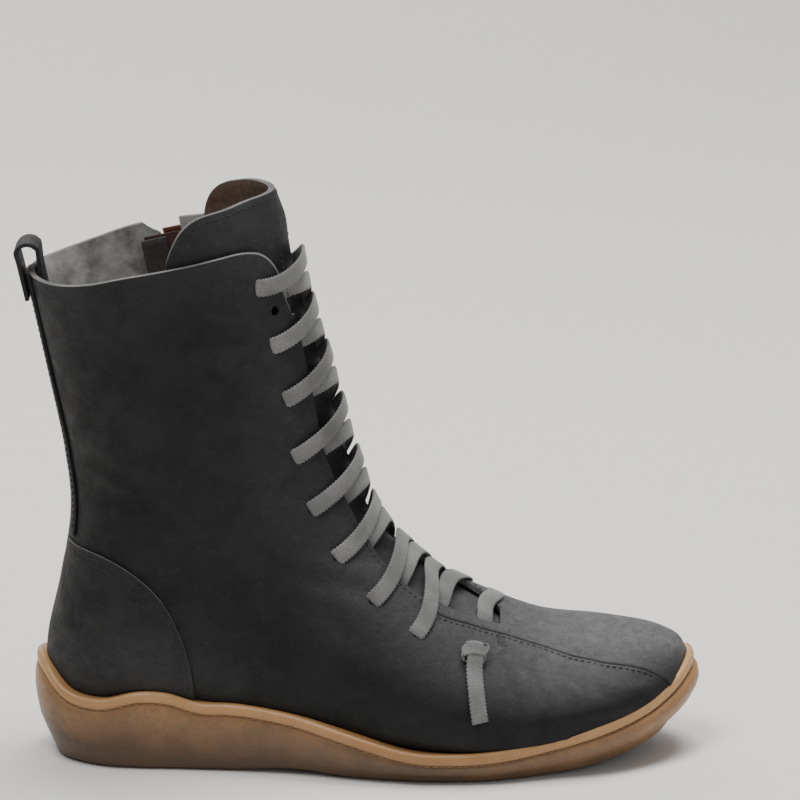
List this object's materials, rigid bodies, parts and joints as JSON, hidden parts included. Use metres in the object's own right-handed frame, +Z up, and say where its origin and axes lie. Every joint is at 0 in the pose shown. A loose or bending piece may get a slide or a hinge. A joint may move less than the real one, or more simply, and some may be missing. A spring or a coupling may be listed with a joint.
{
  "type": "orthopedic boot",
  "caption": "Right-foot mid-calf boot with a laced front, an inner-side zip with a hinged pull, a pull loop, a heel counter and a cup sole.",
  "frame": {"origin": "middle of the heel's flat spot on the floor", "axes": "+X to the toe, +Y to the inner side of the foot, +Z up"},
  "size_m": [0.2797, 0.0991, 0.2369],
  "materials": {
    "nubuck": "matt brushed",
    "lining": "suede",
    "gum_rubber": "satin",
    "lace": "ribbed weave",
    "zip_coil": "woven tape and nylon coil",
    "copper": "reddish copper"
  },
  "bodies": {
    "boot": {"upper": "nubuck", "sole": "gum_rubber", "tongue": "nubuck", "insole": "lining", "counter": "nubuck", "back_strip": "nubuck", "pull_loop": "nubuck", "zip_tape": "zip_coil", "zip_slider": "copper", "lace_pair_1": "lace", "lace_pair_2": "lace", "lace_pair_3": "lace", "lace_pair_4": "lace", "lace_pair_5": "lace", "lace_pair_6": "lace", "lace_pair_7": "lace", "lace_pair_8": "lace", "lace_first_crossing": "lace", "lace_knot_lower": "lace", "lace_end_lower": "lace", "lace_knot_upper": "lace", "lace_end_upper": "lace"},
    "pull": {"zip_pull": "copper"}
  },
  "joints": [
    {"name": "zip_pull_hinge", "type": "hinge", "parent": "boot", "child": "pull", "pos_m": [0.01591, 0.04516, 0.20751], "axis": [0.972, -0.091, 0.2164], "range_deg": [0, 165]}
  ]
}
